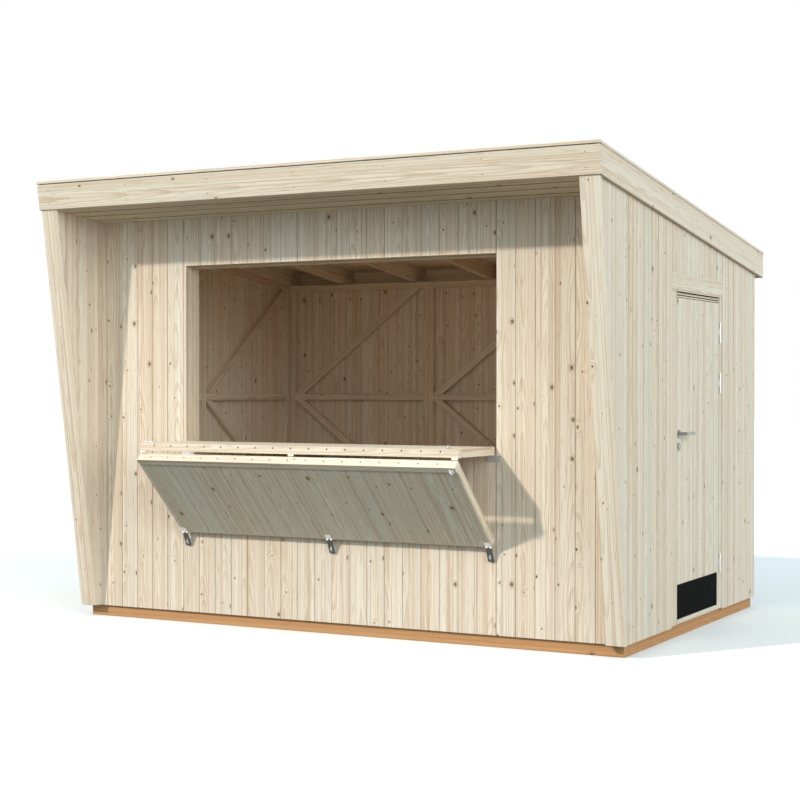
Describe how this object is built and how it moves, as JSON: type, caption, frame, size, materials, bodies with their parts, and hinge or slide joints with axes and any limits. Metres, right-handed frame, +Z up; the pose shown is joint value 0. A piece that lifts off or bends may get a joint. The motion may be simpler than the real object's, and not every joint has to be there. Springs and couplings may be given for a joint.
{
  "type": "market stall",
  "caption": "Timber market stall cabin with a side door, a front serving hatch that folds out as a counter, and a deep sloping canopy held by two leaning wings.",
  "frame": {"origin": "on the ground at the centre of the timber base frame", "axes": "+X to the right along the serving front, +Y from the front to the rear, +Z up"},
  "size_m": [3.678, 2.9777, 2.6824],
  "materials": {
    "impregnated_timber": "rough sawn, brown impregnated",
    "framing_timber": "planed, raw",
    "cladding_boards": "planed tongued boards with V grooves, raw",
    "roof_boards": "planed, raw",
    "planed_trim": "planed, raw",
    "roofing_felt": "mineral surfaced felt, matte",
    "hatch_timber": "planed, raw",
    "galvanised_steel": "bright zinc",
    "black_plate": "black, semi-matte",
    "satin_steel": "satin"
  },
  "bodies": {
    "cabin": {"base_cross_beams": "impregnated_timber", "base_long_beams": "impregnated_timber", "floor": "framing_timber", "wall_studs": "framing_timber", "wall_rails": "framing_timber", "wall_braces": "framing_timber", "rafters": "framing_timber", "opening_stops": "framing_timber", "door_frame": "framing_timber", "front_wall_left": "cladding_boards", "front_wall_right": "cladding_boards", "front_wall_above": "cladding_boards", "front_wall_below": "cladding_boards", "left_wall": "cladding_boards", "rear_wall": "cladding_boards", "right_wall_front": "cladding_boards", "right_wall_rear": "cladding_boards", "right_wall_above_door": "cladding_boards", "wing_boards": "cladding_boards", "roof_deck": "roof_boards", "soffits": "roof_boards", "wing_front_boards": "planed_trim", "front_fascia": "planed_trim", "side_fascias": "planed_trim", "rear_fascia": "planed_trim", "roof_trim": "planed_trim", "door_casings": "planed_trim", "roof_felt": "roofing_felt", "wall_hinge_plates": "galvanised_steel", "hasp_staples": "galvanised_steel", "door_hinges_fixed": "galvanised_steel"},
    "counter": {"counter_frame": "hatch_timber", "counter_boards": "hatch_timber", "counter_hinge_plates": "galvanised_steel"},
    "flap": {"flap_frame": "hatch_timber", "flap_boards": "hatch_timber", "flap_hinge_plates": "galvanised_steel", "hasp_plates": "galvanised_steel"},
    "left_hasp": {"left_hasp": "galvanised_steel"},
    "middle_hasp": {"middle_hasp": "galvanised_steel"},
    "right_hasp": {"right_hasp": "galvanised_steel"},
    "door": {"door_leaf": "cladding_boards", "door_kick_panel": "black_plate", "door_hinges_moving": "galvanised_steel", "door_furniture": "satin_steel"}
  },
  "joints": [
    {"name": "counter_hinge", "type": "hinge", "parent": "cabin", "child": "counter", "pos_m": [0, -1.1855, 1.057], "axis": [-1, 0, 0], "range_deg": [0, 90]},
    {"name": "flap_hinge", "type": "hinge", "parent": "counter", "child": "flap", "pos_m": [0, -1.6445, 1.057], "axis": [-1, 0, 0], "range_deg": [0, 135]},
    {"name": "left_hasp_hinge", "type": "hinge", "parent": "flap", "child": "left_hasp", "pos_m": [-1.015, -1.22731, 0.55425], "axis": [-1, 0, 0], "range_deg": [0, 157]},
    {"name": "middle_hasp_hinge", "type": "hinge", "parent": "flap", "child": "middle_hasp", "pos_m": [0, -1.22731, 0.55425], "axis": [-1, 0, 0], "range_deg": [0, 157]},
    {"name": "right_hasp_hinge", "type": "hinge", "parent": "flap", "child": "right_hasp", "pos_m": [1.015, -1.22731, 0.55425], "axis": [-1, 0, 0], "range_deg": [0, 157]},
    {"name": "door_hinge", "type": "hinge", "parent": "cabin", "child": "door", "pos_m": [1.803, 0.4235, 1], "axis": [0, 0, 1], "range_deg": [0, 105]}
  ]
}
